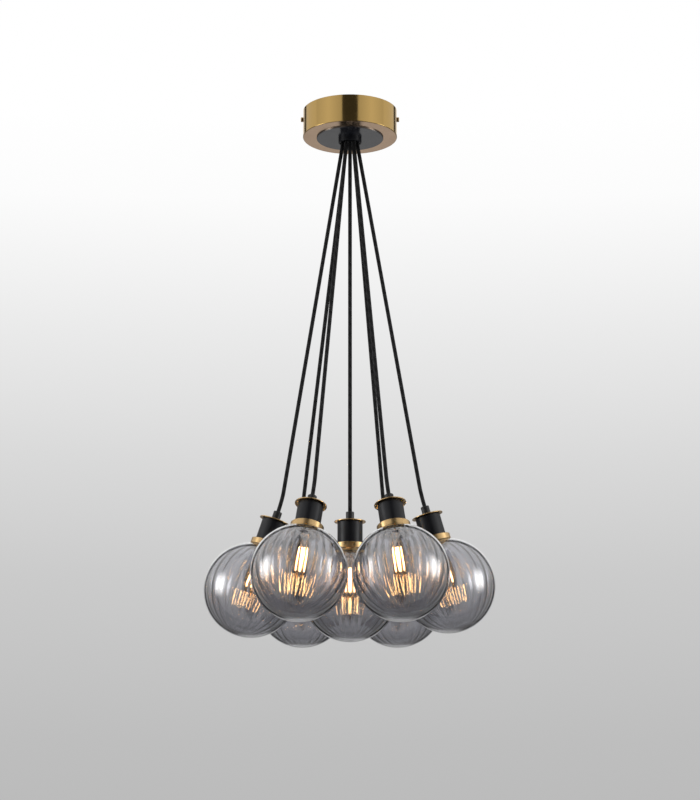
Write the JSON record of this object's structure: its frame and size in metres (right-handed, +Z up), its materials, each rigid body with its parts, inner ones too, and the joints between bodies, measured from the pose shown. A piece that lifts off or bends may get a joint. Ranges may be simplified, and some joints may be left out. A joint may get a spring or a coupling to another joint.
{
  "type": "cluster pendant light",
  "caption": "Cluster pendant light: smoked ribbed glass globes on black textile cords hang in a bunch from a round brass canopy with a black cord boss.",
  "frame": {"origin": "centre of the ceiling plane, on the top face of the ceiling strap", "axes": "+Z up out of the ceiling side, -Y towards the front of the picture, +X to its right"},
  "size_m": [0.4599, 0.4182, 0.8839],
  "materials": {
    "brass_drum": "polished side, brushed underside",
    "brass_fittings": "satin",
    "black_metal": "matt black powder coat",
    "black_plastic": "moulded, satin",
    "zinc_steel": "zinc plated",
    "terminal_plastic": "moulded",
    "wire_sheath": "plain sheath",
    "textile_cord": "fine braid",
    "smoked_glass": "half-mirror smoke, smooth outside, fluted inside",
    "bulb_glass": "clear bulb glass with a plated cap and glowing filaments"
  },
  "bodies": {
    "root": {"ceiling_strap": "zinc_steel", "strap_screws": "zinc_steel", "terminal_block": "terminal_plastic", "wiring_tails": "wire_sheath", "cord_retainers": "black_plastic", "boss_nut": "zinc_steel", "cable_boss": "black_metal", "canopy_disc": "black_metal", "canopy_shell": "brass_drum"},
    "side_screw_left": {"side_screw_left": "brass_fittings"},
    "side_screw_right": {"side_screw_right": "brass_fittings"},
    "lamp_centre": {"cord_centre": "textile_cord", "lampholder_centre": "black_plastic", "top_disc_centre": "brass_fittings", "holder_cup_centre": "black_metal", "shade_collar_centre": "brass_fittings"},
    "globe_centre": {"globe_centre": "smoked_glass"},
    "bulb_centre": {"bulb_centre": "bulb_glass"},
    "lamp_right": {"cord_right": "textile_cord", "lampholder_right": "black_plastic", "top_disc_right": "brass_fittings", "holder_cup_right": "black_metal", "shade_collar_right": "brass_fittings"},
    "globe_right": {"globe_right": "smoked_glass"},
    "bulb_right": {"bulb_right": "bulb_glass"},
    "lamp_back_right": {"cord_back_right": "textile_cord", "lampholder_back_right": "black_plastic", "top_disc_back_right": "brass_fittings", "holder_cup_back_right": "black_metal", "shade_collar_back_right": "brass_fittings"},
    "globe_back_right": {"globe_back_right": "smoked_glass"},
    "bulb_back_right": {"bulb_back_right": "bulb_glass"},
    "lamp_back_left": {"cord_back_left": "textile_cord", "lampholder_back_left": "black_plastic", "top_disc_back_left": "brass_fittings", "holder_cup_back_left": "black_metal", "shade_collar_back_left": "brass_fittings"},
    "globe_back_left": {"globe_back_left": "smoked_glass"},
    "bulb_back_left": {"bulb_back_left": "bulb_glass"},
    "lamp_left": {"cord_left": "textile_cord", "lampholder_left": "black_plastic", "top_disc_left": "brass_fittings", "holder_cup_left": "black_metal", "shade_collar_left": "brass_fittings"},
    "globe_left": {"globe_left": "smoked_glass"},
    "bulb_left": {"bulb_left": "bulb_glass"},
    "lamp_front_left": {"cord_front_left": "textile_cord", "lampholder_front_left": "black_plastic", "top_disc_front_left": "brass_fittings", "holder_cup_front_left": "black_metal", "shade_collar_front_left": "brass_fittings"},
    "globe_front_left": {"globe_front_left": "smoked_glass"},
    "bulb_front_left": {"bulb_front_left": "bulb_glass"},
    "lamp_front_right": {"cord_front_right": "textile_cord", "lampholder_front_right": "black_plastic", "top_disc_front_right": "brass_fittings", "holder_cup_front_right": "black_metal", "shade_collar_front_right": "brass_fittings"},
    "globe_front_right": {"globe_front_right": "smoked_glass"},
    "bulb_front_right": {"bulb_front_right": "bulb_glass"}
  },
  "joints": [
    {"name": "side_screw_left_turn", "type": "hinge", "parent": "root", "child": "side_screw_left", "pos_m": [-0.0778, 0, -0.014], "axis": [-1, 0, 0], "continuous": true},
    {"name": "side_screw_right_turn", "type": "hinge", "parent": "root", "child": "side_screw_right", "pos_m": [0.0778, 0, -0.014], "axis": [1, 0, 0], "continuous": true},
    {"name": "lamp_centre_twist", "type": "hinge", "parent": "root", "child": "lamp_centre", "pos_m": [0, 0, -0.0548], "axis": [0, 0, 1], "range_deg": [-90, 90]},
    {"name": "globe_centre_turn", "type": "hinge", "parent": "lamp_centre", "child": "globe_centre", "pos_m": [0, 0, -0.8089], "axis": [0, 0, 1], "continuous": true},
    {"name": "bulb_centre_turn", "type": "hinge", "parent": "lamp_centre", "child": "bulb_centre", "pos_m": [0, 0, -0.8089], "axis": [0, 0, 1], "continuous": true},
    {"name": "lamp_right_swing", "type": "hinge", "parent": "root", "child": "lamp_right", "pos_m": [0.0115, 0, -0.0548], "axis": [0, -1, 0], "range_deg": [0, 25]},
    {"name": "globe_right_turn", "type": "hinge", "parent": "lamp_right", "child": "globe_right", "pos_m": [0.15439, 0, -0.79514], "axis": [-0.2723, 0, 0.9622], "continuous": true},
    {"name": "bulb_right_turn", "type": "hinge", "parent": "lamp_right", "child": "bulb_right", "pos_m": [0.15439, 0, -0.79514], "axis": [-0.2723, 0, 0.9622], "continuous": true},
    {"name": "lamp_back_right_swing", "type": "hinge", "parent": "root", "child": "lamp_back_right", "pos_m": [0.00575, 0.00996, -0.0548], "axis": [0.866, -0.5, 0], "range_deg": [0, 25]},
    {"name": "globe_back_right_turn", "type": "hinge", "parent": "lamp_back_right", "child": "globe_back_right", "pos_m": [0.07745, 0.13415, -0.7981], "axis": [-0.1462, -0.2532, 0.9563], "continuous": true},
    {"name": "bulb_back_right_turn", "type": "hinge", "parent": "lamp_back_right", "child": "bulb_back_right", "pos_m": [0.07745, 0.13415, -0.7981], "axis": [-0.1462, -0.2532, 0.9563], "continuous": true},
    {"name": "lamp_back_left_swing", "type": "hinge", "parent": "root", "child": "lamp_back_left", "pos_m": [-0.00575, 0.00996, -0.0548], "axis": [0.866, 0.5, 0], "range_deg": [0, 25]},
    {"name": "globe_back_left_turn", "type": "hinge", "parent": "lamp_back_left", "child": "globe_back_left", "pos_m": [-0.07745, 0.13415, -0.7981], "axis": [0, -0.2924, 0.9563], "continuous": true},
    {"name": "bulb_back_left_turn", "type": "hinge", "parent": "lamp_back_left", "child": "bulb_back_left", "pos_m": [-0.07745, 0.13415, -0.7981], "axis": [0, -0.2924, 0.9563], "continuous": true},
    {"name": "lamp_left_swing", "type": "hinge", "parent": "root", "child": "lamp_left", "pos_m": [-0.0115, 0, -0.0548], "axis": [0, 1, 0], "range_deg": [0, 25]},
    {"name": "globe_left_turn", "type": "hinge", "parent": "lamp_left", "child": "globe_left", "pos_m": [-0.15553, 0, -0.80205], "axis": [0.314, 0, 0.9494], "continuous": true},
    {"name": "bulb_left_turn", "type": "hinge", "parent": "lamp_left", "child": "bulb_left", "pos_m": [-0.15553, 0, -0.80205], "axis": [0.314, 0, 0.9494], "continuous": true},
    {"name": "lamp_front_left_swing", "type": "hinge", "parent": "root", "child": "lamp_front_left", "pos_m": [-0.00575, -0.00996, -0.0548], "axis": [-0.866, 0.5, 0], "range_deg": [0, 25]},
    {"name": "globe_front_left_turn", "type": "hinge", "parent": "lamp_front_left", "child": "globe_front_left", "pos_m": [-0.07745, -0.13415, -0.7981], "axis": [0.1462, 0.2532, 0.9563], "continuous": true},
    {"name": "bulb_front_left_turn", "type": "hinge", "parent": "lamp_front_left", "child": "bulb_front_left", "pos_m": [-0.07745, -0.13415, -0.7981], "axis": [0.1462, 0.2532, 0.9563], "continuous": true},
    {"name": "lamp_front_right_swing", "type": "hinge", "parent": "root", "child": "lamp_front_right", "pos_m": [0.00575, -0.00996, -0.0548], "axis": [-0.866, -0.5, 0], "range_deg": [0, 25]},
    {"name": "globe_front_right_turn", "type": "hinge", "parent": "lamp_front_right", "child": "globe_front_right", "pos_m": [0.07745, -0.13415, -0.7981], "axis": [-0.1336, 0.2314, 0.9636], "continuous": true},
    {"name": "bulb_front_right_turn", "type": "hinge", "parent": "lamp_front_right", "child": "bulb_front_right", "pos_m": [0.07745, -0.13415, -0.7981], "axis": [-0.1336, 0.2314, 0.9636], "continuous": true}
  ]
}
